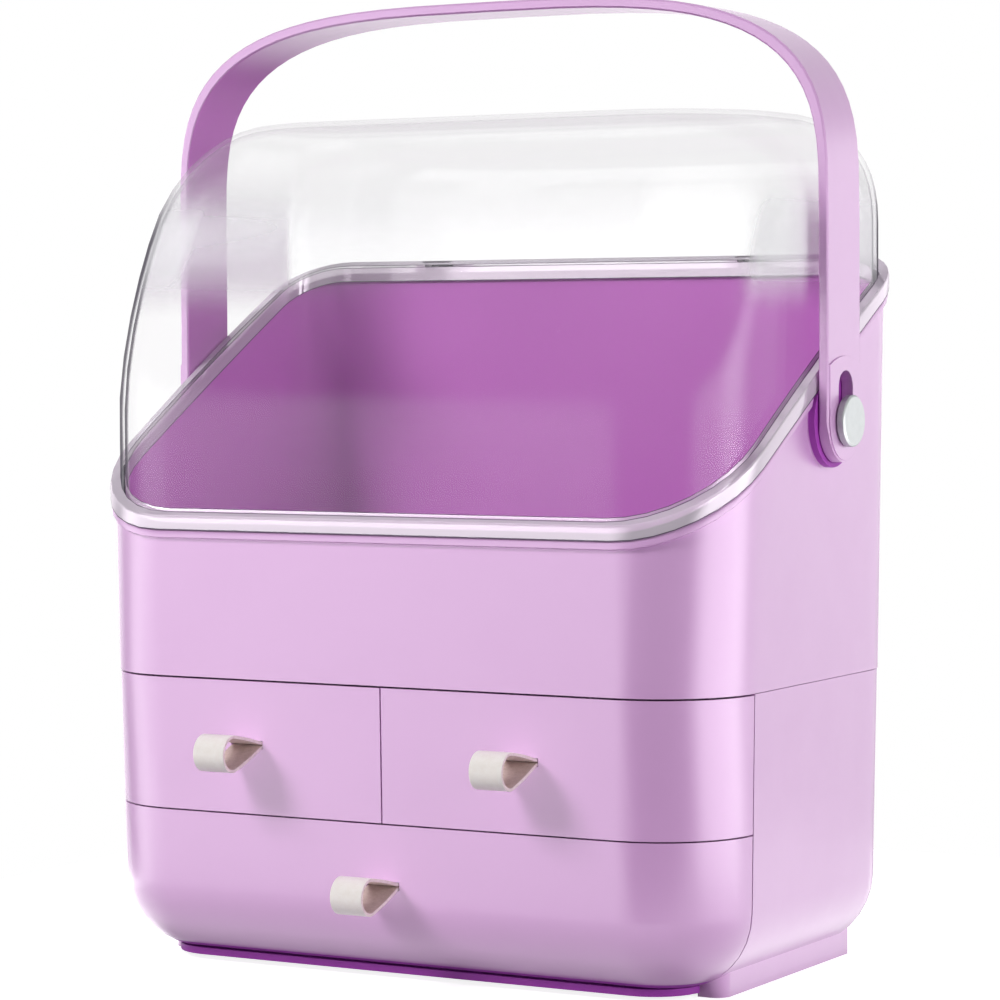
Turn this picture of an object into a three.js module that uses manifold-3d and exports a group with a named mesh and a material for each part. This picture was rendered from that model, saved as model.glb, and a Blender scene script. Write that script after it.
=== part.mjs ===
// Dustproof make-up organizer: a cabinet of three drawers under an open tray, which a clear
// domed lid covers, with a bail handle that swings on the tray's sides.
// Millimetres. X runs across the front, the front faces -Y, Z is up and z = 0 is the table.
// Lengths along Y are measured from the front face at the seam under the tray, and the whole
// group is moved at the end, so that its origin is the middle of the underside.

import * as THREE from 'three';
import { mergeVertices } from 'three/addons/utils/BufferGeometryUtils.js';
import Module from 'manifold-3d';

const wasm = await Module();
wasm.setup();

// Driving dimensions
const bodyWidth = 280; // across the cabinet at the seam under the tray
const bodyDepth = 167.5; // front face to back at that seam
const frontRadius = 38.5; // upright corners at the front, seen from above
const backRadius = 21; // upright corners at the back
const bodyBottom = 3.5; // table to the flat underside
const bottomRadius = 30; // rounded lower edges
const drawerSeam = 63; // table to the seam between the two rows of drawers
const traySeam = 116; // table to the seam under the tray
const lidTop = 336.6; // table to the top of the lid
const handleRise = 46.2; // top of the lid to the top of the handle
const handleTop = lidTop + handleRise;
const wall = 2.5; // moulded walls
const draft = 0.015; // lean of the cabinet's walls, per unit of height
const flare = 0.016; // lean outwards of the tray's walls, per unit of height

// Clearances
const seamGap = 0.6; // between a drawer front and what it closes against
const seatGap = 0.3; // between pieces that rest on each other
const runningGap = 0.8; // around a drawer box and above its floor
const overrun = 5; // how far a cutter reaches past what it cuts

// Facets
const cornerSteps = 8;
const sideSteps = 6;
const roundSteps = 32;

// Colours and finishes
const shellPlastic = new THREE.MeshStandardMaterial({ color: 0xdcc2e2, roughness: 0.32, metalness: 0 });
const handlePlastic = new THREE.MeshStandardMaterial({ color: 0xd9b4e2, roughness: 0.35, metalness: 0 });
const innerPlastic = new THREE.MeshStandardMaterial({ color: 0xd2b2da, roughness: 0.45, metalness: 0 });
const clearPlastic = new THREE.MeshStandardMaterial({
  color: 0xf4f4f8, roughness: 0.08, metalness: 0, transparent: true, opacity: 0.3,
});
const strapLeather = new THREE.MeshStandardMaterial({ color: 0xebe6e0, roughness: 0.6, metalness: 0 });
const satinSilver = new THREE.MeshStandardMaterial({ color: 0xdcdcdf, roughness: 0.3, metalness: 0.6 });
const pinSteel = new THREE.MeshStandardMaterial({ color: 0xb8babd, roughness: 0.3, metalness: 1 });

const organizer = new THREE.Group();

function addPiece(name, geometry, material) {
  const mesh = new THREE.Mesh(geometry, material);
  mesh.name = name;
  organizer.add(mesh);
}

// Solids for cutting and joining
function solidOf(geometry) {
  const bare = new THREE.BufferGeometry();
  bare.setAttribute('position', geometry.getAttribute('position'));
  if (geometry.index) bare.setIndex(geometry.index);
  const merged = mergeVertices(bare);
  return new wasm.Manifold(new wasm.Mesh({
    numProp: 3,
    vertProperties: Float32Array.from(merged.getAttribute('position').array),
    triVerts: Uint32Array.from(merged.index.array),
  }));
}

function geometryOf(solid) {
  const mesh = solid.getMesh();
  const geometry = new THREE.BufferGeometry();
  geometry.setAttribute('position', new THREE.BufferAttribute(Float32Array.from(mesh.vertProperties), 3));
  geometry.setIndex(Array.from(mesh.triVerts));
  geometry.computeVertexNormals();
  return geometry;
}

function block(x0, x1, y0, y1, z0, z1) {
  const geometry = new THREE.BoxGeometry(x1 - x0, y1 - y0, z1 - z0);
  geometry.translate((x0 + x1) / 2, (y0 + y1) / 2, (z0 + z1) / 2);
  return solidOf(geometry);
}

// A round bar along X, from x0 to x1
function barAlongX(x0, x1, radius, y, z, steps = roundSteps) {
  const geometry = new THREE.CylinderGeometry(radius, radius, Math.abs(x1 - x0), steps);
  geometry.rotateZ(Math.PI / 2);
  geometry.translate((x0 + x1) / 2, y, z);
  return solidOf(geometry);
}

// A round bar standing up, from z0 to z1
function postAlongZ(x, y, radius, z0, z1, steps = 16) {
  const geometry = new THREE.CylinderGeometry(radius, radius, z1 - z0, steps);
  geometry.rotateX(Math.PI / 2);
  geometry.translate(x, y, (z0 + z1) / 2);
  return solidOf(geometry);
}

// A side outline, drawn in Y and Z, pushed along X from x0 to x1
function sideProfile(shape, x0, x1, curveSegments = 12) {
  const geometry = new THREE.ExtrudeGeometry(shape, { depth: x1 - x0, bevelEnabled: false, curveSegments });
  geometry.rotateX(Math.PI / 2);
  geometry.rotateZ(Math.PI / 2);
  geometry.translate(x0, 0, 0);
  return solidOf(geometry);
}

// A rounded rectangle seen from above, with the same number of points whatever its size, so
// that outlines at different heights can be joined point to point
function outline({ half, front, back, frontCorner, backCorner }) {
  const corners = [
    [half - frontCorner, front + frontCorner, frontCorner, -Math.PI / 2],
    [half - backCorner, back - backCorner, backCorner, 0],
    [backCorner - half, back - backCorner, backCorner, Math.PI / 2],
    [frontCorner - half, front + frontCorner, frontCorner, Math.PI],
  ];
  const points = [];
  corners.forEach(([x, y, radius, start], corner) => {
    for (let step = 0; step <= cornerSteps; step++) {
      const angle = start + (step / cornerSteps) * (Math.PI / 2);
      points.push(new THREE.Vector2(x + radius * Math.cos(angle), y + radius * Math.sin(angle)));
    }
    if (corner % 2) return;
    const from = points.at(-1);
    const [nextX, nextY, nextRadius, nextStart] = corners[corner + 1];
    const to = new THREE.Vector2(
      nextX + nextRadius * Math.cos(nextStart), nextY + nextRadius * Math.sin(nextStart));
    for (let step = 1; step < sideSteps; step++) points.push(from.clone().lerp(to, step / sideSteps));
  });
  return points;
}

// A ring at one height
function levelRing(sizes, z) {
  return outline(sizes).map((p) => new THREE.Vector3(p.x, p.y, z));
}

// A ring that lies on a slanted edge: each point slides along its wall until its height fits
function slantedRing(sizesAt, heightAt) {
  const rounds = 6;
  const ring = [];
  const count = outline(sizesAt(traySeam)).length;
  for (let index = 0; index < count; index++) {
    let z = traySeam;
    let point;
    for (let round = 0; round < rounds; round++) {
      point = outline(sizesAt(z))[index];
      z = heightAt(point.y);
    }
    ring.push(new THREE.Vector3(point.x, point.y, z));
  }
  return ring;
}

// A closed skin over a list of rings, with a fan over the first and the last
function loft(rings) {
  const count = rings[0].length;
  const points = rings.flat();
  const index = [];
  for (let ring = 0; ring < rings.length - 1; ring++) {
    for (let side = 0; side < count; side++) {
      const next = (side + 1) % count;
      const a = ring * count + side;
      const b = ring * count + next;
      index.push(a, b, b + count, a, b + count, a + count);
    }
  }
  const centreOf = (ring) => ring.reduce((sum, p) => sum.add(p), new THREE.Vector3()).divideScalar(count);
  const first = points.length;
  const last = first + 1;
  const top = (rings.length - 1) * count;
  points.push(centreOf(rings[0]), centreOf(rings.at(-1)));
  for (let side = 0; side < count; side++) {
    const next = (side + 1) % count;
    index.push(first, next, side, last, top + side, top + next);
  }
  const geometry = new THREE.BufferGeometry().setFromPoints(points);
  geometry.setIndex(index);
  return geometry;
}

// The cabinet's outer form, or a form that lies inside it at a given depth below its skin
const frontAt = (z) => draft * (traySeam - z);
const leastCorner = 2;

function cabinetSizes(z, inset) {
  const lean = frontAt(z);
  return {
    half: bodyWidth / 2 - lean - inset,
    front: lean + inset,
    back: bodyDepth - lean - inset,
    frontCorner: Math.max(frontRadius - inset, leastCorner),
    backCorner: Math.max(backRadius - inset, leastCorner),
  };
}

function cabinetForm(depth, top) {
  const rings = [];
  for (let step = 0; step <= cornerSteps; step++) {
    const angle = (step / cornerSteps) * (Math.PI / 2);
    const radius = bottomRadius - depth;
    const z = bodyBottom + bottomRadius - radius * Math.cos(angle);
    rings.push(levelRing(cabinetSizes(z, bottomRadius - radius * Math.sin(angle)), z));
  }
  rings.push(levelRing(cabinetSizes(top, depth), top));
  return solidOf(loft(rings));
}

// Lower casing: sides, back and bottom in one moulding, open in front and on top. The drawer
// fronts wrap round both front corners, so the casing starts behind them.
const wrapDepth = frontRadius; // how far back the drawer fronts reach along the sides
const runnerInset = 14; // cabinet's side to a runner's outer face
const runnerHalf = bodyWidth / 2 - runnerInset;
const runnerWidth = 11;
const runnerStart = 2; // from the back edge of the drawer fronts
const runnerFront = wrapDepth + runnerStart;
const runnerEnd = 14.5; // short of the back face
const runnerBack = bodyDepth - runnerEnd;
const runnerRadius = 6;
const shelfThickness = 2.5;
const shelfTop = drawerSeam + 1.5;
const ledge = 2.2; // depth of the ledges that carry the shelf
const ledgeHeight = 2;
const bracketReach = 13; // how far a screw bracket stands in from the outer skin
const bracketLength = 12;
const bracketTop = traySeam - 5.3;
const bracketThickness = 3;
const screwInset = 10; // outer skin to a screw's axis
const screwBehindFronts = 13.5;
const screwFromBack = 25.5;
const screwFront = wrapDepth + screwBehindFronts;
const screwBack = bodyDepth - screwFromBack;
const screwRadius = 1.5;
const screwHole = screwRadius + seatGap;
const screwPlaces = [
  [-bodyWidth / 2 + screwInset, screwFront],
  [bodyWidth / 2 - screwInset, screwFront],
  [-bodyWidth / 2 + screwInset, screwBack],
  [bodyWidth / 2 - screwInset, screwBack],
];
const farSide = bodyWidth;
const casingTop = traySeam - seatGap / 2;
const shelfBottom = shelfTop - shelfThickness;

function runner(side) {
  const inner = runnerHalf - runnerWidth;
  const shape = new THREE.Shape();
  shape.moveTo(inner, runnerFront);
  shape.lineTo(runnerHalf - runnerRadius, runnerFront);
  shape.absarc(runnerHalf - runnerRadius, runnerFront + runnerRadius, runnerRadius, -Math.PI / 2, 0);
  shape.lineTo(runnerHalf, runnerBack);
  shape.lineTo(inner, runnerBack);
  shape.closePath();
  const geometry = new THREE.ExtrudeGeometry(shape, {
    depth: bodyBottom + bottomRadius, bevelEnabled: false, curveSegments: cornerSteps,
  });
  const solid = solidOf(geometry);
  const trimmed = solid.subtract(cabinetForm(wall / 2, traySeam));
  return side > 0 ? trimmed : trimmed.mirror([1, 0, 0]);
}

function lowerCasing() {
  const behindFronts = wrapDepth + seamGap;
  let solid = cabinetForm(0, casingTop).subtract(cabinetForm(wall, traySeam + overrun));
  const ledgeTop = shelfBottom - seatGap;
  const ledgeRing = cabinetForm(wall / 2, casingTop)
    .subtract(cabinetForm(wall + ledge, traySeam + overrun))
    .intersect(block(-farSide, farSide, 0, farSide, ledgeTop - ledgeHeight, ledgeTop));
  solid = solid.add(ledgeRing);
  for (const [x, y] of screwPlaces) {
    const outer = Math.sign(x) * (bodyWidth / 2 - wall / 2);
    const inner = Math.sign(x) * (bodyWidth / 2 - wall / 2 - bracketReach);
    const bracket = block(
      Math.min(outer, inner), Math.max(outer, inner), y - bracketLength / 2, y + bracketLength / 2,
      bracketTop - bracketThickness, bracketTop);
    solid = solid.add(bracket.intersect(cabinetForm(wall / 2, casingTop)));
    solid = solid.subtract(
      postAlongZ(x, y, screwHole, bracketTop - bracketThickness - overrun, bracketTop + overrun));
  }
  solid = solid.subtract(block(-farSide, farSide, -farSide, behindFronts, -overrun, traySeam + overrun));
  solid = solid.add(runner(1)).add(runner(-1));
  return geometryOf(solid);
}
addPiece('lower_casing', lowerCasing(), shellPlastic);

// Shelf between the rows of drawers, on the casing's ledges
const shelfFront = wrapDepth + seamGap;
function casingShelf() {
  const fit = wall + seatGap;
  return geometryOf(cabinetForm(fit, traySeam).intersect(
    block(-farSide, farSide, shelfFront, farSide, shelfBottom, shelfTop)));
}
addPiece('casing_shelf', casingShelf(), innerPlastic);

// Upright divider between the two small drawers, standing on the shelf under the tray
const dividerThickness = 2.5;
const dividerTop = traySeam - seatGap / 2;
function drawerDivider() {
  const fit = wall + seatGap;
  return geometryOf(cabinetForm(fit, traySeam).intersect(block(
    -dividerThickness / 2, dividerThickness / 2, shelfFront, farSide, shelfTop + seatGap, dividerTop)));
}
addPiece('drawer_divider', drawerDivider(), innerPlastic);

// Drawer pulls: a strap of soft leather folded into a drop-shaped loop. Its tail goes through a
// slot in the drawer front and ends in a head behind a clip.
const pullWidth = 14;
const pullReach = 27.1; // front face to the front of the loop
const strapThickness = 1.3;
const loopRadius = 7.3; // outside of the front bend
const loopDrop = 1.4; // slot to the middle of the bend
const tailHalf = 1.4; // half the thickness of the folded tail
const loopMouth = 2.5; // front face to the back end of the finger gap
const clipThickness = 2;
const clipHalfWidth = 10;
const clipHalfHeight = 5;
const headHalf = 3;
const headThickness = 2;
const pullFromSide = 78.5; // cabinet's side to the middle of an upper pull
const upperPullX = bodyWidth / 2 - pullFromSide;
const upperPullDrop = 25.5; // below the tray's seam
const lowerPullDrop = 23.7; // below the seam between the rows
const upperPullHeight = traySeam - upperPullDrop;
const lowerPullHeight = drawerSeam - lowerPullDrop;
const tailLength = wall + seatGap + clipThickness + seatGap;

// The two places where straight lines from a point touch a circle, as angles on the circle
function tangentAngles(point, centre, radius) {
  const away = point.clone().sub(centre);
  const spread = Math.acos(radius / away.length());
  const middle = Math.atan2(away.y, away.x);
  return [middle + spread, middle - spread];
}

function pullStrap(x, height) {
  const face = frontAt(height);
  const middle = new THREE.Vector2(face - pullReach + loopRadius, height - loopDrop);
  const shape = new THREE.Shape();
  const tailTop = new THREE.Vector2(face, height + tailHalf);
  const tailUnder = new THREE.Vector2(face, height - tailHalf);
  const upper = tangentAngles(tailTop, middle, loopRadius)[0];
  const lower = tangentAngles(tailUnder, middle, loopRadius)[1];
  shape.moveTo(face + tailLength + headThickness, height + headHalf);
  shape.lineTo(face + tailLength, height + headHalf);
  shape.lineTo(face + tailLength, height + tailHalf);
  shape.lineTo(tailTop.x, tailTop.y);
  shape.absarc(middle.x, middle.y, loopRadius, upper, lower + 2 * Math.PI);
  shape.lineTo(tailUnder.x, tailUnder.y);
  shape.lineTo(face + tailLength, height - tailHalf);
  shape.lineTo(face + tailLength, height - headHalf);
  shape.lineTo(face + tailLength + headThickness, height - headHalf);
  shape.closePath();
  const mouth = new THREE.Vector2(face - loopMouth, height);
  const gapRadius = loopRadius - strapThickness;
  const [gapUpper, gapLower] = tangentAngles(mouth, middle, gapRadius);
  const gap = new THREE.Path();
  gap.moveTo(mouth.x, mouth.y);
  gap.lineTo(middle.x + gapRadius * Math.cos(gapUpper), middle.y + gapRadius * Math.sin(gapUpper));
  gap.absarc(middle.x, middle.y, gapRadius, gapUpper, gapLower + 2 * Math.PI);
  gap.closePath();
  shape.holes.push(gap);
  return geometryOf(sideProfile(shape, x - pullWidth / 2, x + pullWidth / 2));
}

function pullSlot(x, height) {
  const face = frontAt(height);
  return block(
    x - pullWidth / 2 - seatGap, x + pullWidth / 2 + seatGap, face - overrun, face + wall + overrun,
    height - tailHalf - seatGap, height + tailHalf + seatGap);
}

function pullClip(x, height) {
  const face = frontAt(height);
  const front = face + wall + seatGap;
  const plate = block(
    x - clipHalfWidth, x + clipHalfWidth, front, front + clipThickness,
    height - clipHalfHeight, height + clipHalfHeight);
  return geometryOf(plate.subtract(pullSlot(x, height)));
}

// Drawers: each is one moulding, a front that wraps round the cabinet's corner and a box behind
// it. The bottom one has the whole width, and its front curves under and ends in a foot strip.
const boxWall = 2;
const upperBoxDrop = 13; // top edge of the box below its seam
const lowerBoxDrop = 8;
const upperBoxTop = traySeam - upperBoxDrop;
const lowerBoxTop = drawerSeam - lowerBoxDrop;
const joinDepth = 3.5; // thickness of the step that joins the front to the box
const boxOverlap = 8; // how far the box reaches forward into the front
const footFront = 20;
const footInset = 23; // cabinet's side to the end of the foot strip
const footHalf = bodyWidth / 2 - footInset;
const footRadius = 20;
const footWidth = 5;
const footBottom = 2; // clear of the table

function drawerSolid({ left, right, boxLeft, boxRight, bottom, boxBottom, top, boxTop }) {
  const boxDepth = wall + runningGap;
  const boxFront = wrapDepth - boxOverlap;
  const over = traySeam + overrun;
  const front = cabinetForm(0, traySeam).intersect(block(left, right, -farSide, wrapDepth, bottom, top));
  const box = cabinetForm(boxDepth, traySeam).intersect(
    block(boxLeft, boxRight, boxFront, farSide, boxBottom, boxTop));
  const frontRoom = cabinetForm(wall, over).intersect(block(
    left + wall, right - wall, -farSide, wrapDepth - joinDepth, bottom + wall, over));
  const boxRoom = cabinetForm(boxDepth + boxWall, over).intersect(block(
    boxLeft + boxWall, boxRight - boxWall, boxFront, farSide, boxBottom + boxWall, over));
  return front.add(box).subtract(frontRoom).subtract(boxRoom);
}

function upperDrawer(side) {
  const split = seamGap / 2;
  const boxSplit = dividerThickness / 2 + runningGap;
  const solid = drawerSolid({
    left: side > 0 ? split : -farSide,
    right: side > 0 ? farSide : -split,
    boxLeft: side > 0 ? boxSplit : -farSide,
    boxRight: side > 0 ? farSide : -boxSplit,
    bottom: drawerSeam + seamGap / 2,
    boxBottom: shelfTop + runningGap,
    top: traySeam - seamGap,
    boxTop: upperBoxTop,
  });
  return geometryOf(solid.subtract(pullSlot(side * upperPullX, upperPullHeight)));
}

function footStrip() {
  const outer = {
    half: footHalf, front: footFront, back: bodyDepth, frontCorner: footRadius, backCorner: backRadius,
  };
  const inner = {
    half: footHalf - footWidth, front: footFront + footWidth, back: bodyDepth,
    frontCorner: footRadius - footWidth, backCorner: backRadius,
  };
  const top = bodyBottom + wall / 2;
  return solidOf(loft([levelRing(outer, footBottom), levelRing(outer, top)]))
    .subtract(solidOf(loft([levelRing(inner, footBottom - overrun), levelRing(inner, top + overrun)])))
    .intersect(block(-farSide, farSide, 0, wrapDepth, 0, farSide));
}

function bottomDrawer() {
  const solid = drawerSolid({
    left: -farSide,
    right: farSide,
    boxLeft: -farSide,
    boxRight: farSide,
    bottom: 0,
    boxBottom: 0,
    top: drawerSeam - seamGap / 2,
    boxTop: lowerBoxTop,
  });
  return geometryOf(solid.add(footStrip()).subtract(pullSlot(0, lowerPullHeight)));
}

addPiece('drawer_left', upperDrawer(-1), shellPlastic);
addPiece('drawer_right', upperDrawer(1), shellPlastic);
addPiece('drawer_bottom', bottomDrawer(), shellPlastic);
const pullPlaces = {
  left: [-upperPullX, upperPullHeight],
  right: [upperPullX, upperPullHeight],
  bottom: [0, lowerPullHeight],
};
for (const [place, [x, height]] of Object.entries(pullPlaces)) {
  addPiece(`pull_strap_${place}`, pullStrap(x, height), strapLeather);
  addPiece(`pull_clip_${place}`, pullClip(x, height), innerPlastic);
}

// The slanted edge where the lid meets the tray, low in front and high at the back
const rimFront = 175.9; // table to the rim at the front face
const rimRise = 97.65; // how much higher it is at the back
const rimCrown = 1.4; // how far its middle stands above a straight slope
const bowAt = (y, height) => 4 * height * (y / bodyDepth) * (1 - y / bodyDepth);
const rimAt = (y) => rimFront + rimRise * (y / bodyDepth) + bowAt(y, rimCrown);

// The tray's walls lean out, and start a little outside the cabinet's
const trayStep = 0.3;
function traySizes(z, out) {
  const grow = trayStep + flare * (z - traySeam) + out;
  return {
    half: bodyWidth / 2 + grow,
    front: -grow,
    back: bodyDepth + grow,
    frontCorner: frontRadius + grow,
    backCorner: backRadius + grow,
  };
}

// Lid hinges: two pairs of ears on the tray's back, with the lid's knuckles between them
const hingeFromSide = 65; // cabinet's side to the middle of a hinge
const hingeSpacing = bodyWidth / 2 - hingeFromSide;
const knuckleRadius = 4;
const knuckleWidth = 14;
const earWidth = 5;
const earDrop = 15; // how far an ear reaches down the tray's back
const hingeSideGap = 0.4;
const hingePinRadius = 1.5;
const hingePinHole = hingePinRadius + seatGap;
const flangeOut = 2.2; // how far the lid's foot stands out past the tray's wall
const hingeSetback = knuckleRadius + 0.6 * hingePinRadius; // flange to the hinge's axis
const flangeBack = slantedRing((z) => traySizes(z, flangeOut), rimAt)
  .reduce((most, p) => Math.max(most, p.y), 0);
const hingeY = flangeBack + hingeSetback;
const hingeZ = rimAt(flangeBack) + hingePinRadius;

// Handle pivots, on the tray's sides
const pivotFromBack = 68.5; // back face to the pivot
const pivotY = bodyDepth - pivotFromBack;
const pivotHeight = 216.3; // table to the pivot
const legStandoff = 5.3; // cabinet's side to a leg's inner face
const legInner = bodyWidth / 2 + legStandoff;
const bossRadius = 18;
const bossReach = 10; // outside the walls, how far the rim's slope trims the bosses
const spigotRadius = 4;
const spigotLength = 3.2;
const bossFace = legInner - seatGap;

// Upper tray: floor, walls, a rounded bead round the slanted rim, a boss for each pivot, ears
// for the lid's hinges and four posts for the screws from the casing
const beadOut = 1.8;
const beadHeight = 4.4;
const beadShares = [[0, 1], [0.6, 0.86], [1, 0.66], [1, 0.22], [0.72, 0]]; // shares of out and height
const floorThickness = 2.5;
const insideRadius = 6; // between the floor and the walls
const insideSteps = 3;
const screwPostRadius = 4;
const postEnd = bracketTop + seatGap;
const screwDepth = 4.4; // how deep a screw reaches into its post

function ear(x0, x1) {
  const shape = new THREE.Shape();
  const wallBack = bodyDepth + trayStep;
  shape.moveTo(wallBack, hingeZ - earDrop);
  shape.lineTo(hingeY + knuckleRadius * Math.cos(-Math.PI / 4), hingeZ + knuckleRadius * Math.sin(-Math.PI / 4));
  shape.absarc(hingeY, hingeZ, knuckleRadius, -Math.PI / 4, Math.PI);
  shape.lineTo(hingeY - knuckleRadius, hingeZ - knuckleRadius);
  shape.lineTo(wallBack, hingeZ - knuckleRadius - hingePinRadius);
  shape.closePath();
  return sideProfile(shape, x0, x1);
}

function upperTray() {
  const bottom = traySeam + seatGap / 2;
  const floorTop = bottom + floorThickness;
  const rings = [levelRing(traySizes(bottom, 0), bottom)];
  for (const [outShare, dropShare] of beadShares) {
    rings.push(slantedRing((z) => traySizes(z, beadOut * outShare), (y) => rimAt(y) - beadHeight * dropShare));
  }
  rings.push(slantedRing((z) => traySizes(z, -wall), rimAt));
  for (let step = 0; step <= insideSteps; step++) {
    const angle = (step / insideSteps) * (Math.PI / 2);
    const z = floorTop + insideRadius * (1 - Math.sin(angle));
    rings.push(levelRing(traySizes(z, -wall - insideRadius * (1 - Math.cos(angle))), z));
  }
  let solid = solidOf(loft(rings));
  const underRim = solidOf(loft([
    levelRing(traySizes(bottom, bossReach), bottom),
    slantedRing((z) => traySizes(z, bossReach), rimAt),
  ]));
  for (const side of [-1, 1]) {
    const inWall = side * (bodyWidth / 2 + flare * (pivotHeight - traySeam) - wall / 2);
    const face = side * bossFace;
    solid = solid.add(barAlongX(inWall, face, bossRadius, pivotY, pivotHeight).intersect(underRim));
    solid = solid.subtract(barAlongX(
      face - side * spigotLength, face + side * overrun, spigotRadius + seatGap, pivotY, pivotHeight));
    const middle = side * hingeSpacing;
    const near = knuckleWidth / 2 + hingeSideGap;
    solid = solid.add(ear(middle + near, middle + near + earWidth));
    solid = solid.add(ear(middle - near - earWidth, middle - near));
  }
  solid = solid.subtract(barAlongX(-bodyWidth / 2, bodyWidth / 2, hingePinHole, hingeY, hingeZ, 16));
  for (const [x, y] of screwPlaces) {
    solid = solid.add(postAlongZ(x, y, screwPostRadius, postEnd, floorTop));
    solid = solid.subtract(postAlongZ(x, y, screwHole, postEnd - overrun, postEnd + screwDepth + seatGap));
  }
  return geometryOf(solid);
}
addPiece('upper_tray', upperTray(), shellPlastic);

// Screws that hold the tray down on the casing, put in from inside the cabinet
const screwHeadRadius = 2.8;
const screwHeadHeight = 2;
function casingScrew(x, y) {
  const headTop = bracketTop - bracketThickness - seatGap;
  const head = postAlongZ(x, y, screwHeadRadius, headTop - screwHeadHeight, headTop);
  const shaft = postAlongZ(x, y, screwRadius, headTop - screwHeadHeight / 2, postEnd + screwDepth);
  return geometryOf(head.add(shaft));
}
screwPlaces.forEach(([x, y], place) => addPiece(`casing_screw_${place + 1}`, casingScrew(x, y), pinSteel));

// Hinge pins, pushed through the ears and the lid's knuckles
const pinEnd = knuckleWidth / 2 + hingeSideGap + earWidth;
for (const [name, side] of [['left', -1], ['right', 1]]) {
  const middle = side * hingeSpacing;
  const pin = barAlongX(middle - pinEnd, middle + pinEnd, hingePinRadius, hingeY, hingeZ, 16);
  addPiece(`hinge_pin_${name}`, geometryOf(pin), pinSteel);
}

// Lid: a clear dome on a foot that follows the rim, with a long curve down its front
const lidSideOut = 0.5; // how far the dome stands out past the cabinet's side at the seam
const lidFrontOut = 1.6;
const lidBackOut = 0.8;
const lidHalf = bodyWidth / 2 + lidSideOut;
const lidFront = -lidFrontOut;
const lidBack = bodyDepth + lidBackOut;
const lidFrontRadius = 43;
const lidBackRadius = 21.4;
const lidWall = 2;
const frontDrop = 114; // height of the curve down the front
const frontCurl = 68; // how far that curve runs back
const frontPower = 1.5; // 2 is an ellipse, less is straighter
const sideDrop = 42;
const sideCurl = 28;
const backDrop = 27;
const flangeHeight = 5.8; // at the front and at the back
const flangeCrown = 1.8; // how much taller it is half way
const flangeShares = [[1, 0], [1, 0.82], [0.8, 1]]; // shares of its reach and height
const lidSteps = 14;

function lidSizes(z, inset) {
  const below = Math.max(lidTop - inset - z, 0);
  const curl = (drop, reach, power) => {
    const share = Math.max(1 - below / (drop - inset), 0);
    return (reach - inset) * (1 - (1 - share ** power) ** (1 / power));
  };
  const side = curl(sideDrop, sideCurl, 2);
  return {
    half: lidHalf - inset - side,
    front: lidFront + inset + curl(frontDrop, frontCurl, frontPower),
    back: lidBack - inset - curl(backDrop, backDrop, 2),
    frontCorner: lidFrontRadius - inset,
    backCorner: lidBackRadius - inset,
  };
}

function lidRings(inset, foot) {
  const rings = [];
  const top = lidTop - inset;
  for (let step = 0; step <= lidSteps; step++) {
    const share = Math.sin((step / lidSteps) * (Math.PI / 2));
    rings.push(slantedRing((z) => lidSizes(z, inset), (y) => foot(y) + (top - foot(y)) * share));
  }
  return rings;
}

function knuckle(middle) {
  const shape = new THREE.Shape();
  const under = hingeZ - hingePinRadius + seatGap;
  shape.moveTo(flangeBack - flangeOut, under);
  shape.lineTo(hingeY - knuckleRadius, under);
  shape.absarc(hingeY, hingeZ, knuckleRadius, Math.PI, Math.PI / 2 + 2 * Math.PI);
  shape.lineTo(flangeBack - flangeOut, hingeZ + knuckleRadius);
  shape.closePath();
  return sideProfile(shape, middle - knuckleWidth / 2, middle + knuckleWidth / 2);
}

function lidDome() {
  const seat = (y) => rimAt(y) + seatGap;
  const tall = (y) => flangeHeight + bowAt(y, flangeCrown);
  const rings = lidRings(lidWall, seat).reverse();
  for (const [outShare, upShare] of flangeShares) {
    rings.push(slantedRing((z) => traySizes(z, flangeOut * outShare), (y) => seat(y) + tall(y) * upShare));
  }
  rings.push(...lidRings(0, (y) => seat(y) + tall(y)));
  let solid = solidOf(loft(rings));
  solid = solid.add(knuckle(-hingeSpacing)).add(knuckle(hingeSpacing));
  solid = solid.subtract(barAlongX(-bodyWidth / 2, bodyWidth / 2, hingePinHole, hingeY, hingeZ, 16));
  return geometryOf(solid);
}
addPiece('lid_dome', lidDome(), clearPlastic);

// Handle: a flat bail bent over the lid, each leg ending in a round pad with a keyhole slot
const handleWidth = 30;
const handleThickness = 4.1;
const archHeight = 86.8; // height of the bend over the legs
const archPower = 3.4; // 2 is an ellipse, more is squarer
const archSteps = 40;
const handleBevel = 0.7;
const legEnd = 16; // pivot to the bottom of a leg
const padProud = 0.6; // how far the pad stands out from the leg
const padTop = 25; // pivot to the top of the pad
const padMargin = 0.8; // leg's edge to the pad's
const padCrown = 3.4; // rise of the pad's top edge
const studRadius = 6.3;
const slotRadius = studRadius + seatGap;
const slotTravel = 12.8; // pivot to the middle of the slot's upper end
const legOuter = legInner + handleThickness;

function archPoints(half, height) {
  const points = [];
  for (let step = 0; step <= archSteps; step++) {
    const angle = (step / archSteps) * Math.PI;
    const x = Math.sign(Math.cos(angle)) * Math.abs(Math.cos(angle)) ** (2 / archPower) * half;
    const z = Math.sin(angle) ** (2 / archPower) * height;
    points.push(new THREE.Vector2(x, handleTop - archHeight + z));
  }
  return points;
}

// The bail's end seen from the side: a straight leg with a round bottom
function legOutline(half, end, top) {
  const shape = new THREE.Shape();
  shape.moveTo(pivotY + half, top);
  shape.lineTo(pivotY - half, top);
  shape.absellipse(pivotY, pivotHeight, half, end, Math.PI, 2 * Math.PI);
  shape.closePath();
  return shape;
}

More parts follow.
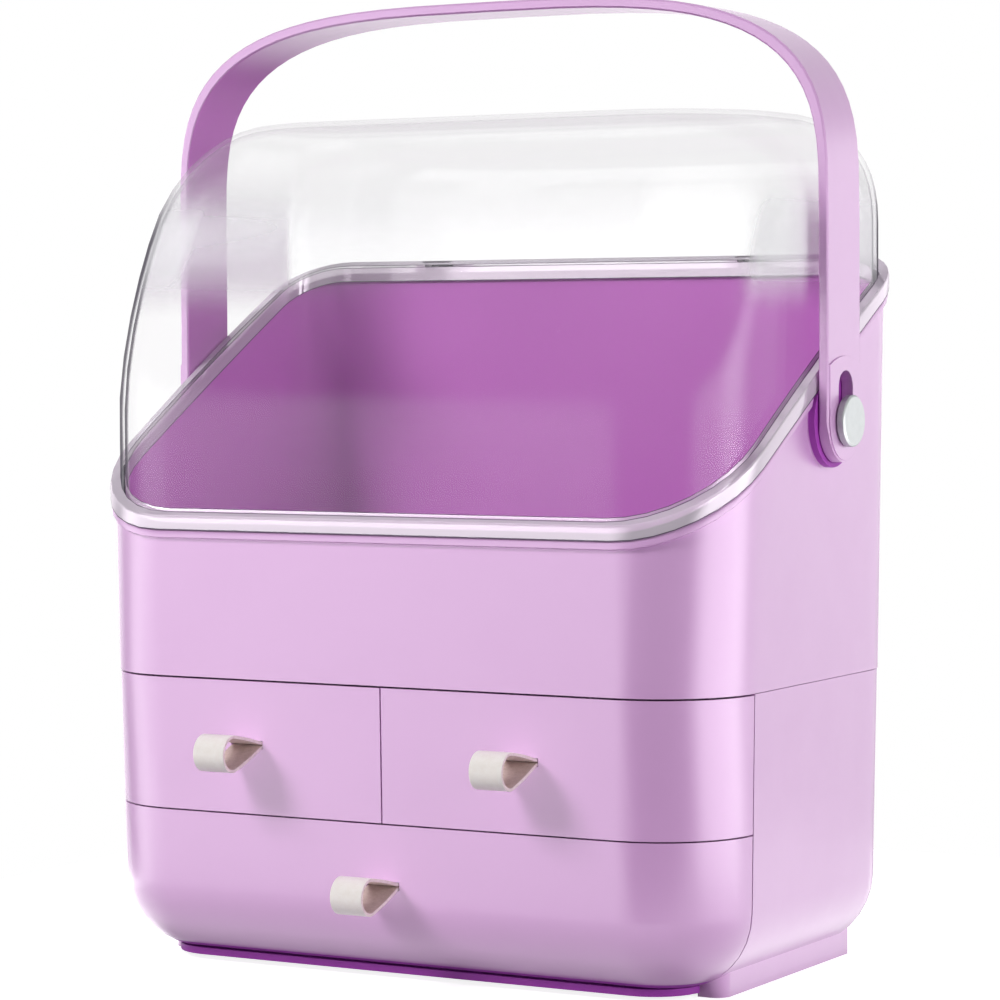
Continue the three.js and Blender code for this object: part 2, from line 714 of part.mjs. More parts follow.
function padOutline() {
  const half = handleWidth / 2 - padMargin;
  const shape = new THREE.Shape();
  shape.moveTo(pivotY + half, pivotHeight + padTop - padCrown);
  shape.quadraticCurveTo(pivotY, pivotHeight + padTop + padCrown,
    pivotY - half, pivotHeight + padTop - padCrown);
  shape.absellipse(pivotY, pivotHeight, half, legEnd - padMargin, Math.PI, 2 * Math.PI);
  shape.closePath();
  return shape;
}

function keyhole() {
  const shape = new THREE.Shape();
  shape.absarc(pivotY, pivotHeight + slotTravel, slotRadius, 0, Math.PI);
  shape.absarc(pivotY, pivotHeight, slotRadius, Math.PI, 2 * Math.PI);
  shape.closePath();
  return sideProfile(shape, -farSide, farSide, 16);
}

function handleBail() {
  const outer = archPoints(legOuter, archHeight);
  const inner = archPoints(legInner, archHeight - handleThickness);
  const foot = pivotHeight - legEnd;
  const band = new THREE.Shape([
    new THREE.Vector2(legOuter, foot), ...outer, new THREE.Vector2(-legOuter, foot),
    new THREE.Vector2(-legInner, foot), ...inner.reverse(), new THREE.Vector2(legInner, foot),
  ]);
  const geometry = new THREE.ExtrudeGeometry(band, {
    depth: handleWidth - 2 * handleBevel,
    bevelEnabled: true,
    bevelThickness: handleBevel,
    bevelSize: handleBevel,
    bevelOffset: -handleBevel,
    bevelSegments: 1,
  });
  geometry.rotateX(Math.PI / 2);
  geometry.translate(0, pivotY + handleWidth / 2 - handleBevel, 0);
  let solid = solidOf(geometry);
  solid = solid.intersect(sideProfile(legOutline(handleWidth / 2, legEnd, handleTop + overrun), -farSide, farSide));
  for (const side of [-1, 1]) {
    const inside = side * (legInner + handleThickness / 2);
    const face = side * (legOuter + padProud);
    solid = solid.add(sideProfile(padOutline(), Math.min(inside, face), Math.max(inside, face)));
  }
  return geometryOf(solid.subtract(keyhole()));
}
addPiece('handle_bail', handleBail(), handlePlastic);

// Pivot studs in the tray's bosses, and the silver caps on them that keep the handle on
const capRadius = 10;
const capThickness = 3.5;
const capEdge = 0.6;
const capSocket = 1.2;
const capInner = legOuter + padProud + seatGap;
const studEnd = capInner + capSocket - seatGap;

function pivotStud(side) {
  const shaft = barAlongX(side * legInner, side * studEnd, studRadius, pivotY, pivotHeight);
  const spigotEnd = bossFace - spigotLength + seatGap;
  const spigot = barAlongX(side * spigotEnd, side * (legInner + studRadius / 2), spigotRadius, pivotY, pivotHeight);
  return geometryOf(shaft.add(spigot));
}

function studCap(side) {
  const socketRadius = studRadius + seatGap;
  const profile = [
    [0, capSocket], [socketRadius, capSocket], [socketRadius, 0], [capRadius - capEdge, 0],
    [capRadius, capEdge], [capRadius, capThickness - capEdge], [capRadius - capEdge, capThickness],
    [0, capThickness],
  ].map(([radius, height]) => new THREE.Vector2(radius, height));
  const geometry = new THREE.LatheGeometry(profile, roundSteps);
  geometry.rotateZ(-side * Math.PI / 2);
  geometry.translate(side * capInner, pivotY, pivotHeight);
  return geometryOf(solidOf(geometry));
}

for (const [name, side] of [['left', -1], ['right', 1]]) {
  addPiece(`pivot_stud_${name}`, pivotStud(side), handlePlastic);
  addPiece(`stud_cap_${name}`, studCap(side), satinSilver);
}

// The origin is the middle of the underside, between the front of the upper pulls and the back
// of the hinges
const foremost = frontAt(upperPullHeight) - pullReach;
const rearmost = hingeY + knuckleRadius;
organizer.position.y = -(foremost + rearmost) / 2;

export default organizer;
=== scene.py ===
import math

import bpy
from mathutils import Matrix, Vector


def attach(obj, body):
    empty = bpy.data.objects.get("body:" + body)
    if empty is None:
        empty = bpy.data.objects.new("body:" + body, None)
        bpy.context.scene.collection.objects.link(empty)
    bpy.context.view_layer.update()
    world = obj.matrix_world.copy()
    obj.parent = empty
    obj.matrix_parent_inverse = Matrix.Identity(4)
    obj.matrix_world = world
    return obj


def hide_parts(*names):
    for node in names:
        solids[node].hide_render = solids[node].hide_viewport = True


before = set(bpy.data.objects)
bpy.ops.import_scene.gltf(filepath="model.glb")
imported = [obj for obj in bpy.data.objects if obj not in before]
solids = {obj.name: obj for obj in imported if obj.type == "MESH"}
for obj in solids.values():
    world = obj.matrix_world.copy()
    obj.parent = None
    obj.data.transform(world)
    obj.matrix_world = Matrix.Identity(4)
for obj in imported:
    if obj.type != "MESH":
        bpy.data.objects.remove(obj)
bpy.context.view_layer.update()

# The camera stands to the right of the front, a little above the lid's rim, and looks slightly
# down. Lengths along Y are counted from the cabinet's front face, as in the part's source.
MM = 0.001
FRONT_FACE = -77.3739 * MM
CAMERA_TURN = math.radians(29.774)
CAMERA_DIP = math.radians(2.672)
CAMERA_ROLL = math.radians(-0.319)
CAMERA_SPOT = Vector((721.143 * MM, FRONT_FACE - 1167.24 * MM, 251.124 * MM))
SENSOR_WIDTH = 36
FOCAL_LENGTH = 129.6
toward = Vector((
    math.sin(CAMERA_TURN) * math.cos(CAMERA_DIP),
    -math.cos(CAMERA_TURN) * math.cos(CAMERA_DIP),
    math.sin(CAMERA_DIP),
))
level = Vector((math.cos(CAMERA_TURN), math.sin(CAMERA_TURN), 0))
above = toward.cross(level)
right = math.cos(CAMERA_ROLL) * level + math.sin(CAMERA_ROLL) * above
upright = math.cos(CAMERA_ROLL) * above - math.sin(CAMERA_ROLL) * level
lens = bpy.data.cameras.new("photo_view")
lens.sensor_width = SENSOR_WIDTH
lens.lens = FOCAL_LENGTH
camera = bpy.data.objects.new("photo_view", lens)
bpy.context.collection.objects.link(camera)
aim = Matrix((right, upright, toward)).transposed().to_4x4()
camera.matrix_world = Matrix.Translation(CAMERA_SPOT) @ aim
bpy.context.scene.camera = camera


# Cabinet and tray: injection-moulded lilac plastic with a satin gloss. Each moulding keeps its
# solid from the source, with its corners rounded over by a fraction of a millimetre.
class Reading:
    """A number or a colour in a finish. Arithmetic on numbers adds the Math nodes for it."""

    def __init__(self, finish, socket):
        self.finish = finish
        self.socket = socket

    def sum(self, operation, left, right):
        return self.finish.node("ShaderNodeMath", {"operation": operation}, {0: left, 1: right})

    def __add__(self, other):
        return self.sum("ADD", self, other)

    def __radd__(self, other):
        return self.sum("ADD", other, self)

    def __sub__(self, other):
        return self.sum("SUBTRACT", self, other)

    def __rsub__(self, other):
        return self.sum("SUBTRACT", other, self)

    def __mul__(self, other):
        return self.sum("MULTIPLY", self, other)

    def __rmul__(self, other):
        return self.sum("MULTIPLY", other, self)

    def __truediv__(self, other):
        return self.sum("DIVIDE", self, other)

    def __rtruediv__(self, other):
        return self.sum("DIVIDE", other, self)

    def __pow__(self, other):
        return self.sum("POWER", self, other)

    def __gt__(self, other):
        return self.sum("GREATER_THAN", self, other)

    def __abs__(self):
        return self.sum("ABSOLUTE", self, 0.0)


class Finish:
    """A node tree, of a material or of the studio's air. Every node in it comes from node()."""

    def __init__(self, name, kind="materials"):
        self.material = getattr(bpy.data, kind).new(name)
        self.material.use_nodes = True
        self.tree = self.material.node_tree
        self.tree.nodes.clear()

    def node(self, kind, settings=None, values=None, out=0):
        made = self.tree.nodes.new(kind)
        for name, value in (settings or {}).items():
            setattr(made, name, value)
        for socket, value in (values or {}).items():
            if isinstance(value, Reading):
                self.tree.links.new(value.socket, made.inputs[socket])
            else:
                made.inputs[socket].default_value = value
        return Reading(self, made.outputs[out]) if made.outputs else None

    def place(self):
        return self.node("ShaderNodeTexCoord", out="Object")

    def axes(self):
        spot = self.place()
        return [self.node("ShaderNodeSeparateXYZ", values={0: spot}, out=axis) for axis in "XYZ"]

    def grain(self, scale, detail, roughness=0.5, stretch=None):
        spot = self.place()
        if stretch:
            spot = self.node("ShaderNodeMapping", values={"Vector": spot, "Scale": stretch})
        return self.node("ShaderNodeTexNoise", values={
            "Vector": spot, "Scale": scale, "Detail": detail, "Roughness": roughness})

    def between(self, value, low, high, low_out=0.0, high_out=1.0, smooth=True):
        kind = "SMOOTHSTEP" if smooth else "LINEAR"
        return self.node("ShaderNodeMapRange", {"interpolation_type": kind}, {
            "Value": value, "From Min": low, "From Max": high, "To Min": low_out, "To Max": high_out})

    def most(self, one, other):
        return self.node("ShaderNodeMath", {"operation": "MAXIMUM"}, {0: one, 1: other})

    def least(self, one, other):
        return self.node("ShaderNodeMath", {"operation": "MINIMUM"}, {0: one, 1: other})

    def blend(self, share, one, other):
        return self.node("ShaderNodeMix", {"data_type": "RGBA"}, {0: share, 6: one, 7: other}, out=2)

    def bump(self, height, distance, strength):
        return self.node("ShaderNodeBump", values={
            "Height": height, "Distance": distance, "Strength": strength})

    def surface(self, **values):
        shader = self.node("ShaderNodeBsdfPrincipled", values={
            name.replace("_", " "): value for name, value in values.items()})
        self.close(shader)

    def close(self, shader):
        self.node("ShaderNodeOutputMaterial", values={"Surface": shader})


def paint(red, green, blue):
    """A colour from 0 to 255, turned into a shader's linear colour by the curve of a screen."""
    parts = []
    for part in (red, green, blue):
        share = part / 255
        parts.append(share / 12.92 if share <= 0.04045 else ((share + 0.055) / 1.055) ** 2.4)
    return (*parts, 1)


LILAC = paint(208, 160, 210)
LILAC_DEEP = paint(205, 156, 207)
# Painted shade colours: the orchid goes inside the tray and on the handle's inner face, the violet on
# the bosses behind the handle's legs and on the bottom drawer's foot strip.
SHADE_ORCHID = paint(205, 122, 206)
SHADE_VIOLET = paint(154, 58, 166)
PLASTIC_IOR = 1.5
COAT_ROUGHNESS = 0.24
SKIN_DEPTH = 0.006 * MM


def lilac_plastic(name, shade_areas=None):
    """The lilac moulding compound. The areas listed by its second argument are matt and take painted
    shade, in a colour of their own.
    """
    finish = Finish(name)
    drift = finish.between(finish.grain(9, 3), 0.35, 0.65)
    colour = finish.blend(drift, LILAC, LILAC_DEEP)
    skin = finish.grain(1400, 2, 0.6)
    smudge = finish.grain(26, 4, 0.6)
    roughness = finish.between(smudge, 0.3, 0.7, 0.46, 0.54)
    coat = finish.between(smudge, 0.25, 0.75, 0.85, 1.0)
    # Each listed area blends to its painted shade colour and loses most of its coat.
    for area, shade in (shade_areas(finish) if shade_areas else []):
        colour = finish.blend(area, colour, shade)
        roughness = roughness + area * 0.2
        coat = coat * (1 - area * 0.9)
    finish.surface(
        Base_Color=colour,
        Roughness=roughness,
        IOR=PLASTIC_IOR,
        Coat_Weight=coat,
        Coat_Roughness=COAT_ROUGHNESS,
        Normal=finish.bump(skin, SKIN_DEPTH, 0.3),
    )
    return finish.material


HALF_WIDTH = 140 * MM
BODY_DEPTH = 167.5 * MM
FRONT_CORNER = 38.5 * MM
BACK_CORNER = 21 * MM
TRAY_SEAM = 116 * MM
TRAY_STEP = 0.3 * MM
TRAY_FLARE = 0.016
FLOOR_MIDDLE = 117.5 * MM
PIVOT_DEPTH = 99 * MM
PIVOT_HEIGHT = 216.3 * MM
BOSS_RADIUS = 18 * MM
BOSS_FOOT = 142.2 * MM


def tray_areas(finish):
    """The inside of the tray and the two bosses that the handle's pads lie on, with painted shade:
    orchid inside the tray, violet on the bosses in the gap behind the handle's legs.
    """
    x, y, z = finish.axes()
    from_middle = y - (FRONT_FACE + BODY_DEPTH / 2)
    corner = FRONT_CORNER - (FRONT_CORNER - BACK_CORNER) * (from_middle > 0.0)
    grown = (z - TRAY_SEAM) * TRAY_FLARE + TRAY_STEP
    across = finish.most(abs(x) - (HALF_WIDTH + grown - corner), 0.0)
    along = finish.most(abs(from_middle) - (BODY_DEPTH / 2 + grown - corner), 0.0)
    from_outside = corner - (across ** 2 + along ** 2) ** 0.5
    inside = finish.between(from_outside, 1.0 * MM, 1.5 * MM) * (z > FLOOR_MIDDLE)
    from_pivot = ((y - (FRONT_FACE + PIVOT_DEPTH)) ** 2 + (z - PIVOT_HEIGHT) ** 2) ** 0.5
    near_pivot = finish.between(from_pivot, BOSS_RADIUS + 0.1 * MM, BOSS_RADIUS + 0.4 * MM, 1, 0)
    on_boss = near_pivot * finish.between(abs(x), BOSS_FOOT, BOSS_FOOT + 0.3 * MM)
    return [(inside, SHADE_ORCHID), (on_boss, SHADE_VIOLET)]


WELD_REACH = 0.005 * MM
EDGE_ROUNDING = 0.55 * MM
EDGE_ANGLE = math.radians(35)


def dress(node, material, edge=EDGE_ROUNDING):
    """Gives a solid its material, joins its triangles, and rounds its edges over."""
    solid = solids[node]
    solid.data.materials.clear()
    solid.data.materials.append(material)
    solid.data.polygons.foreach_set("use_smooth", [True] * len(solid.data.polygons))
    joined = solid.modifiers.new("joined", "WELD")
    joined.merge_threshold = WELD_REACH
    rounded = solid.modifiers.new("rounded", "BEVEL")
    rounded.width = edge
    rounded.segments = 2
    rounded.limit_method = "ANGLE"
    rounded.angle_limit = EDGE_ANGLE
    rounded.harden_normals = False
    even = solid.modifiers.new("even", "WEIGHTED_NORMAL")
    even.keep_sharp = True


shell = lilac_plastic("moulded_lilac")
dress("lower_casing", shell)
dress("upper_tray", lilac_plastic("moulded_lilac_tray", tray_areas))

# Inner parts: the shelf, the divider and the clips behind the pulls, in the same lilac without
# the polish.
matt = Finish("matt_lilac")
matt.surface(
    Base_Color=matt.blend(matt.grain(12, 3), paint(202, 158, 210), paint(194, 148, 203)),
    Roughness=matt.between(matt.grain(40, 4), 0.3, 0.7, 0.5, 0.62),
    Normal=matt.bump(matt.grain(900, 2), 0.03 * MM, 0.5),
)
for node in ("casing_shelf", "drawer_divider", "pull_clip_left", "pull_clip_right", "pull_clip_bottom"):
    dress(node, matt.material, 0.2 * MM)

# Drawers: each front and box is one moulding in the same plastic as the casing. The bottom one ends in
# a foot strip, in the shade of its front, with that shade painted on in violet.
STRIP_TOP = 7.1 * MM
STRIP_BLUR = 0.3 * MM


def foot_strip(finish):
    # Painted shade: below STRIP_TOP the strip takes the violet.
    z = finish.axes()[2]
    return [(finish.between(z, STRIP_TOP - STRIP_BLUR, STRIP_TOP + STRIP_BLUR, 1, 0), SHADE_VIOLET)]


for node in ("drawer_left", "drawer_right"):
    dress(node, shell)
dress("drawer_bottom", lilac_plastic("moulded_lilac_foot", foot_strip))

# Drawer pulls: a strip of cream leather folded into a drop, its ends passed through a slot and
# spread behind the clip. The outside is finished and the inside is left raw. The fronts' gloss
# doesn't mirror the pulls.
STRAP_WIDTH = 14 * MM
STRAP_THICKNESS = 1.3 * MM
LOOP_OUTSIDE = 7.3 * MM
LOOP_REACH = 27.1 * MM
LOOP_DROP = 1.4 * MM
LAYER = 0.7 * MM
TAIL = 5.1 * MM
FLAP = 2.3 * MM
FRONT_WALL = 2.5 * MM
FOLD_START = 0.2 * MM
FOLD_ROOM = 0.6 * MM
SAG = 0.35 * MM
ARM_STEPS = 6
LOOP_STEPS = 22
WALL_LEAN = 0.015
EDGE_WEAR = 0.28 * MM


def strap_path(face, height):
    """The strip's middle line from one spread end round the loop to the other, in Y and Z."""
    bend = LOOP_OUTSIDE - STRAP_THICKNESS / 2
    middle = Vector((face - LOOP_REACH + LOOP_OUTSIDE, height - LOOP_DROP))
    upper = Vector((face, height + LAYER))
    lower = Vector((face, height - LAYER))

    def touch(point, side):
        away = point - middle
        return math.atan2(away.y, away.x) + side * math.acos(bend / away.length)

    start, stop = touch(upper, 1), touch(lower, -1) + 2 * math.pi
    points = [
        Vector((face + TAIL + LAYER, height + LAYER + FLAP)),
        Vector((face + TAIL + LAYER, height + LAYER + FOLD_ROOM)),
        Vector((face + TAIL + FOLD_START, height + LAYER)),
        Vector((face + FRONT_WALL, height + LAYER)),
        upper,
    ]
    first = middle + bend * Vector((math.cos(start), math.sin(start)))
    last = middle + bend * Vector((math.cos(stop), math.sin(stop)))
    for step in range(1, ARM_STEPS):
        share = step / ARM_STEPS
        points.append(upper.lerp(first, share) + Vector((0, SAG * math.sin(math.pi * share))))
    for step in range(LOOP_STEPS + 1):
        angle = start + (stop - start) * step / LOOP_STEPS
        points.append(middle + bend * Vector((math.cos(angle), math.sin(angle))))
    for step in range(1, ARM_STEPS):
        share = step / ARM_STEPS
        points.append(last.lerp(lower, share) - Vector((0, SAG * math.sin(math.pi * share))))
    points += [
        lower,
        Vector((face + FRONT_WALL, height - LAYER)),
        Vector((face + TAIL + FOLD_START, height - LAYER)),
        Vector((face + TAIL + LAYER, height - LAYER - FOLD_ROOM)),
        Vector((face + TAIL + LAYER, height - LAYER - FLAP)),
    ]
    return points


def make_strap(name, x, height, material_list):
    face = FRONT_FACE + WALL_LEAN * (TRAY_SEAM - height)
    points = strap_path(face, height)
    bpy.ops.object.select_all(action="DESELECT")
    bpy.ops.mesh.primitive_plane_add(size=1, location=(0, 0, 0))
    strap = bpy.context.object
    strap.name = name
    starts = [points[0], points[0], points[1], points[1]]
    sides = [-1, 1, -1, 1]
    for corner, spot, side in zip(strap.data.vertices, starts, sides):
        corner.co = (x + side * STRAP_WIDTH / 2, spot.x, spot.y)
    bpy.ops.object.mode_set(mode="EDIT")
    bpy.ops.mesh.select_mode(type="VERT")
    bpy.ops.mesh.select_all(action="DESELECT")
    bpy.ops.object.mode_set(mode="OBJECT")
    for corner in strap.data.vertices:
        corner.select = corner.index in (2, 3)
    bpy.ops.object.mode_set(mode="EDIT")
    for here, after in zip(points[1:], points[2:]):
        step = after - here
        bpy.ops.mesh.extrude_region_move(TRANSFORM_OT_translate={"value": (0, step.x, step.y)})
    bpy.ops.mesh.select_all(action="SELECT")
    bpy.ops.mesh.normals_make_consistent(inside=False)
    bpy.ops.object.mode_set(mode="OBJECT")
    for material in material_list:
        strap.data.materials.append(material)
    thick = strap.modifiers.new("thick", "SOLIDIFY")
    thick.thickness = STRAP_THICKNESS
    thick.offset = 0
    thick.use_even_offset = True
    thick.material_offset = 1
    thick.material_offset_rim = 2
    bpy.ops.object.modifier_apply(modifier="thick")
    worn = strap.modifiers.new("worn", "BEVEL")
    worn.width = EDGE_WEAR
    worn.segments = 3
    worn.limit_method = "ANGLE"
    worn.angle_limit = math.radians(50)
    bpy.ops.object.modifier_apply(modifier="worn")
    full = strap.modifiers.new("full", "SUBSURF")
    full.levels = 1
    full.render_levels = 1
    bpy.ops.object.modifier_apply(modifier="full")
    bpy.ops.object.shade_smooth()
    return strap


def leather(name, light, dark, grain_depth, roughness):
    finish = Finish(name)
    cells = finish.node("ShaderNodeTexVoronoi", {"feature": "DISTANCE_TO_EDGE"}, {
        "Vector": finish.place(), "Scale": 1500.0})
    fibre = finish.grain(420, 4, 0.6)
    pores = finish.between(cells, 0.0, 0.25)
    finish.surface(
        Base_Color=finish.blend(finish.between(fibre, 0.3, 0.7) * 0.7 + pores * 0.3, dark, light),
        Roughness=finish.between(fibre, 0.3, 0.7, roughness, roughness + 0.12),
        Normal=finish.bump(pores * 0.6 + fibre * 0.4, grain_depth, 0.8),
        Sheen_Weight=0.1,
    )
    return finish.material


outside_leather = leather("cream_leather", paint(252, 247, 243), paint(246, 239, 233), 0.03 * MM, 0.4)
raw_leather = leather("raw_leather", paint(228, 208, 202), paint(206, 184, 176), 0.1 * MM, 0.75)
cut_leather = leather("cut_leather", paint(243, 226, 228), paint(226, 205, 206), 0.08 * MM, 0.6)
pulls = {"left": (-61.5 * MM, 90.5 * MM), "right": (61.5 * MM, 90.5 * MM), "bottom": (0.0, 39.3 * MM)}
for side, (x, height) in pulls.items():
    strap = make_strap("leather_pull_" + side, x, height, [outside_leather, raw_leather, cut_leather])
    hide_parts("pull_strap_" + side)
    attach(strap, side + "_drawer")
    strap.visible_glossy = False

# Lid: one clear moulding, 2 mm thick, with a thicker foot that sits on the tray's rim. Besides its
# gloss, its light is painted: the foot is a pale band between two painted dark lines, the walls' edges
# are painted dark, the walls that are seen at an angle and the crown have a painted haze for
# reflections, and the top is painted greyer.
RIM_FRONT = 175.9 * MM
RIM_RISE = 97.65 * MM
RIM_CROWN = 1.4 * MM
SEAT = 0.3 * MM
FOOT_HEIGHT = 5.8 * MM
FOOT_CROWN = 1.8 * MM
CLEAR = paint(252, 252, 254)
FOOT_PALE = paint(250, 238, 251)
EDGE_SHADE = paint(74, 66, 82)
LID_IOR = 1.45
MOST_GLOSS = 0.13
CLEAREST = 0.014
POLISH_START = (270 * MM, 315 * MM)
WALL_END = (285 * MM, 325 * MM)
BAND_START = (256 * MM, 284 * MM)
BAND_END = (290 * MM, 312 * MM)
SMOKE_START = (283 * MM, 312 * MM)
CROWN_START = (300 * MM, 325 * MM)
clear = Finish("clear_lid")
y, z = clear.axes()[1:]
share = (y - FRONT_FACE) / BODY_DEPTH
bow = share * (1 - share) * 4
up_foot = (z - RIM_FRONT - SEAT - share * RIM_RISE - bow * RIM_CROWN) / (bow * FOOT_CROWN + FOOT_HEIGHT)
# Painted light on the foot: a pale band, partly real gloss and partly a painted pale veil, between
# painted dark lines along its top and bottom edges, for the refraction in the clear plastic.
in_foot = clear.between(up_foot, 1.02, 1.06, 1, 0)
inner_line = clear.between(abs(up_foot - 1.03), 0.015, 0.04, 1, 0)
under_line = clear.between(up_foot, 0.03, 0.1, 1, 0)
lines = clear.most(inner_line, under_line)
facing = clear.node("ShaderNodeLayerWeight", values={"Blend": 0.5}, out="Facing")
on_wall = clear.between(z, *WALL_END, 1, 0)
# Painted shade: the walls' edges, seen at a grazing angle, are painted dark, and the crown seen at a
# grazing angle gets a painted grey haze.
grazing = clear.between(facing, 0.71, 0.82) * on_wall * (1 - in_foot)
# Painted reflection: a pale haze on the walls seen at an angle, in a band round the upper lid.
band = clear.between(z, *BAND_START) * clear.between(z, *BAND_END, 1, 0.5)
wall_reflection = clear.between(facing, 0.2, 0.38) * band * on_wall
crown = clear.between(facing, 0.7, 0.95) * clear.between(z, *CROWN_START)
# Painted grey haze: the lid is veiled and greyed towards the top, except in the foot and the pale band.
top_grey = clear.between(z, *SMOKE_START) * (1 - wall_reflection) * (1 - in_foot)
polish = clear.most(clear.between(z, *POLISH_START, 0.13, 0.35), in_foot * 2.3)
gloss = clear.least(clear.node("ShaderNodeFresnel", values={"IOR": LID_IOR}), MOST_GLOSS) * polish
# All the painted haze together: the crown, the walls seen at an angle and the greyer top.
painted_haze = crown * 0.1 + wall_reflection * 0.5 + top_grey * 0.012
veil = gloss + in_foot * 0.46 + lines * 0.45 + grazing * 0.7 + painted_haze + CLEAREST
dark = clear.most(clear.most(lines * 0.95, grazing * 0.9), clear.most(crown * 0.45, top_grey * 0.3))
clear.surface(
    Base_Color=clear.blend(dark, clear.blend(in_foot, CLEAR, FOOT_PALE), EDGE_SHADE),
    Metallic=clear.between(gloss / veil, 0.0, 1.0, smooth=False),
    Roughness=0.06,
    Specular_IOR_Level=0.0,
    Alpha=clear.least(veil, 1.0),
)
dress("lid_dome", clear.material, 0.5 * MM)

# Handle: a flat bail in the lilac plastic, hung on two studs, each held by a satin silver cap. Its
# inner face has painted shade in orchid up the legs and round the two bends, where the lid shades it.
LEG_INNER = 145.3 * MM
ARCH_FOOT = 296 * MM
ARCH_RISE = 82.7 * MM
ARCH_POWER = 3.4


# Painted shade on the bail's inner face, fading out towards the top of the arch.
def bail_inside(finish):
    x, _, z = finish.axes()
    up = finish.most(z - ARCH_FOOT, 0.0)
    from_inner = (abs(x) / LEG_INNER) ** ARCH_POWER + (up / ARCH_RISE) ** ARCH_POWER
    shaded = finish.between(up, 60 * MM, 81 * MM, 0.75, 0.1)
    return [(finish.between(from_inner, 1.004, 1.01, 1, 0) * shaded, SHADE_ORCHID)]


bail = lilac_plastic("moulded_lilac_bail", bail_inside)
dress("handle_bail", bail, 0.3 * MM)
for node in ("pivot_stud_left", "pivot_stud_right"):
    dress(node, shell, 0.2 * MM)
silver = Finish("satin_silver")
spin = silver.grain(300, 3, 0.6, (0.05, 1, 1))
silver.surface(
    Base_Color=silver.blend(silver.between(spin, 0.3, 0.7), paint(173, 176, 177), paint(169, 172, 173)),
    Metallic=0.55,
    Roughness=silver.between(spin, 0.3, 0.7, 0.36, 0.4),
    Normal=silver.bump(spin, 0.004 * MM, 0.2),
)
for node in ("stud_cap_left", "stud_cap_right"):
    dress(node, silver.material, 0.15 * MM)

# Hinge pins and casing screws: bright drawn steel.
steel = Finish("drawn_steel")
drawn = steel.grain(700, 3, 0.6, (0.05, 1, 1))
steel.surface(
    Base_Color=steel.blend(drawn, paint(190, 192, 195), paint(150, 152, 156)),
    Metallic=1.0,
    Roughness=steel.between(drawn, 0.3, 0.7, 0.2, 0.36),
)
for node in ("hinge_pin_left", "hinge_pin_right", "casing_screw_1", "casing_screw_2",
             "casing_screw_3", "casing_screw_4"):
    dress(node, steel.material, 0.1 * MM)

# Studio: a white floor and surround. The gloss on the plastic mirrors the floor's glow, dim under
# the organizer's front edge, and soft boxes in the surround, but none of the lamps. The key lamp,
# to the upper left of the front, gives the pulls their shadows.
FLOOR_DROP = 0.2 * MM
FLOOR_SIZE = (0.64, 0.56, 1)
FLOOR_SHIFT = (0.02, 0.07, 0)
bpy.ops.object.select_all(action="DESELECT")
bpy.ops.mesh.primitive_plane_add(size=1, location=(0, 0, -FLOOR_DROP))
floor = bpy.context.object
floor.name = "studio_floor"
bpy.ops.object.mode_set(mode="EDIT")
bpy.ops.transform.resize(value=FLOOR_SIZE, center_override=(0, 0, 0))
bpy.ops.transform.translate(value=FLOOR_SHIFT)
bpy.ops.object.mode_set(mode="OBJECT")
FLOOR_SHADE = (0.5, 0.49, 0.51, 1)
FLOOR_WHITE = 0.86
paper = Finish("white_paper")
shade = paper.node("ShaderNodeBsdfDiffuse", values={"Color": FLOOR_SHADE})
seen = paper.node("ShaderNodeLightPath", out="Is Camera Ray")
mirrored = paper.node("ShaderNodeLightPath", out="Is Glossy Ray")
x, y = paper.axes()[:2]
in_front = paper.between(y, -200 * MM, -85 * MM, 3.0, 2.0)
toward_back = paper.between(y, -20 * MM, 150 * MM, 1, 0.5)
beside = paper.between(abs(x), 150 * MM, 300 * MM, 1.1, 3.6) * toward_back
under = paper.between(y, -78 * MM, -56 * MM) * paper.between(abs(x), 115 * MM, 140 * MM, 1, 0)
lit = paper.most(in_front, beside) * (1 - under * 0.8)
glow = paper.node("ShaderNodeEmission", values={
    "Color": (1, 1, 1, 1), "Strength": seen * FLOOR_WHITE + mirrored * lit})
paper.close(paper.node("ShaderNodeAddShader", values={0: shade, 1: glow}))
floor.data.materials.append(paper.material)

air = Finish("studio_air", "worlds")
bpy.context.scene.world = air.material
way = air.node("ShaderNodeTexCoord", out="Generated")
x, y, z = [air.node("ShaderNodeSeparateXYZ", values={0: way}, out=axis) for axis in "XYZ"]
turn = air.node("ShaderNodeMath", {"operation": "ARCTAN2"}, {0: x, 1: y * -1.0}) * math.degrees(1)
lift = air.node("ShaderNodeMath", {"operation": "ARCSINE"}, {0: z}) * math.degrees(1)


def soft_box(left, right, low, high, side_fade, level_fade, strength):
    """A bright window in the surround, between two turns from the front and two heights, in degrees."""
    across = air.between(turn, left - side_fade, left + side_fade) * air.between(
        turn, right - side_fade, right + side_fade, 1, 0)
    upward = air.between(lift, low - level_fade, low + level_fade) * air.between(
        lift, high - level_fade, high + level_fade, 1, 0)
    return across * upward * strength


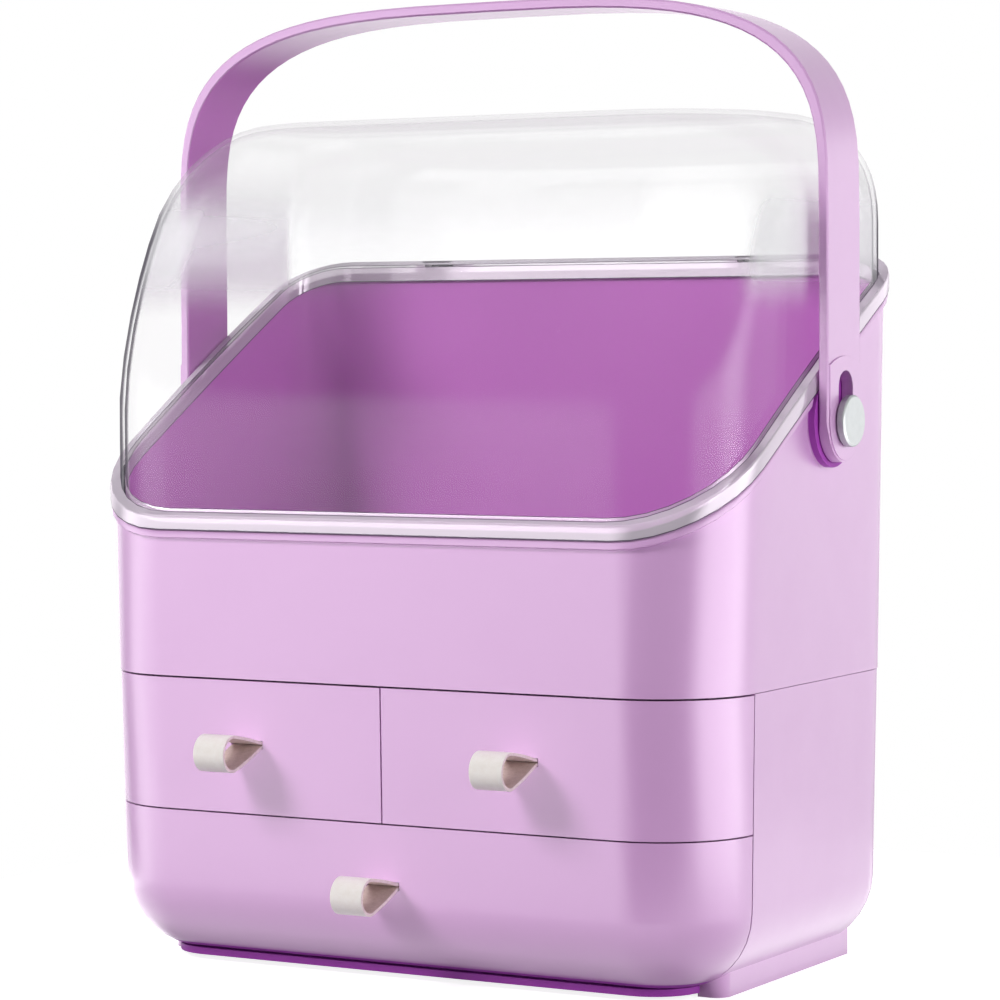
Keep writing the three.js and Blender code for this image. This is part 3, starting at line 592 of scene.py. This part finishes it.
soft_boxes = {
    "upper_left": (-84, -46, 31, 46, 8, 6, 2.2),
    "left": (-82, -16, -46, 9, 15, 4, 4.9),
    "right": (66, 130, -46, 9, 13, 4, 7.6),
    "back_right": (134, 176, -46, 9, 10, 3, 1.25),
    "back_left": (-168, -112, -46, 9, 12, 4, 1.0),
}
mirrored_light = air.between(lift, -12, 6, 0.3, 1.0)
for box in soft_boxes.values():
    mirrored_light = mirrored_light + soft_box(*box)
seen = air.node("ShaderNodeLightPath", out="Is Camera Ray")
mirrored = air.node("ShaderNodeLightPath", out="Is Glossy Ray")
through = air.node("ShaderNodeLightPath", out="Is Transmission Ray")
plain = air.node("ShaderNodeBackground", values={
    "Color": (0.98, 0.97, 1, 1), "Strength": air.between(lift, -50, -20, 0.8, 0.18)})
boxes = air.node("ShaderNodeBackground", values={"Color": (1, 1, 1, 1), "Strength": mirrored_light})
white = air.node("ShaderNodeBackground", values={"Color": (1, 1, 1, 1), "Strength": 1.0})
mixed = air.node("ShaderNodeMixShader", values={0: mirrored, 1: plain, 2: boxes})
mixed = air.node("ShaderNodeMixShader", values={0: air.most(seen, through), 1: mixed, 2: white})
air.node("ShaderNodeOutputWorld", values={"Surface": mixed})

# Each lamp: degrees round from the front, degrees up, its size and its power in watts.
LAMP_DISTANCE = 1.9
LAMP_AIM = Vector((0, 0, 0.15))
lamps = {
    "key": (-30, 35, 0.6, 22),
    "side_fill": (82, 14, 0.9, 15),
    "back_fill": (196, 24, 0.9, 12),
}
for name, (side_turn, height, size, power) in lamps.items():
    lamp = bpy.data.lights.new(name, "AREA")
    lamp.size = size
    lamp.energy = power
    stand = bpy.data.objects.new(name, lamp)
    bpy.context.collection.objects.link(stand)
    stand.visible_glossy = False
    aside, raised = math.radians(side_turn), math.radians(height)
    out = Vector((
        math.sin(aside) * math.cos(raised),
        -math.cos(aside) * math.cos(raised),
        math.sin(raised),
    ))
    stand.location = LAMP_AIM + out * LAMP_DISTANCE
    stand.rotation_euler = out.to_track_quat("Z", "Y").to_euler()

scene = bpy.context.scene
scene.view_settings.view_transform = "Standard"
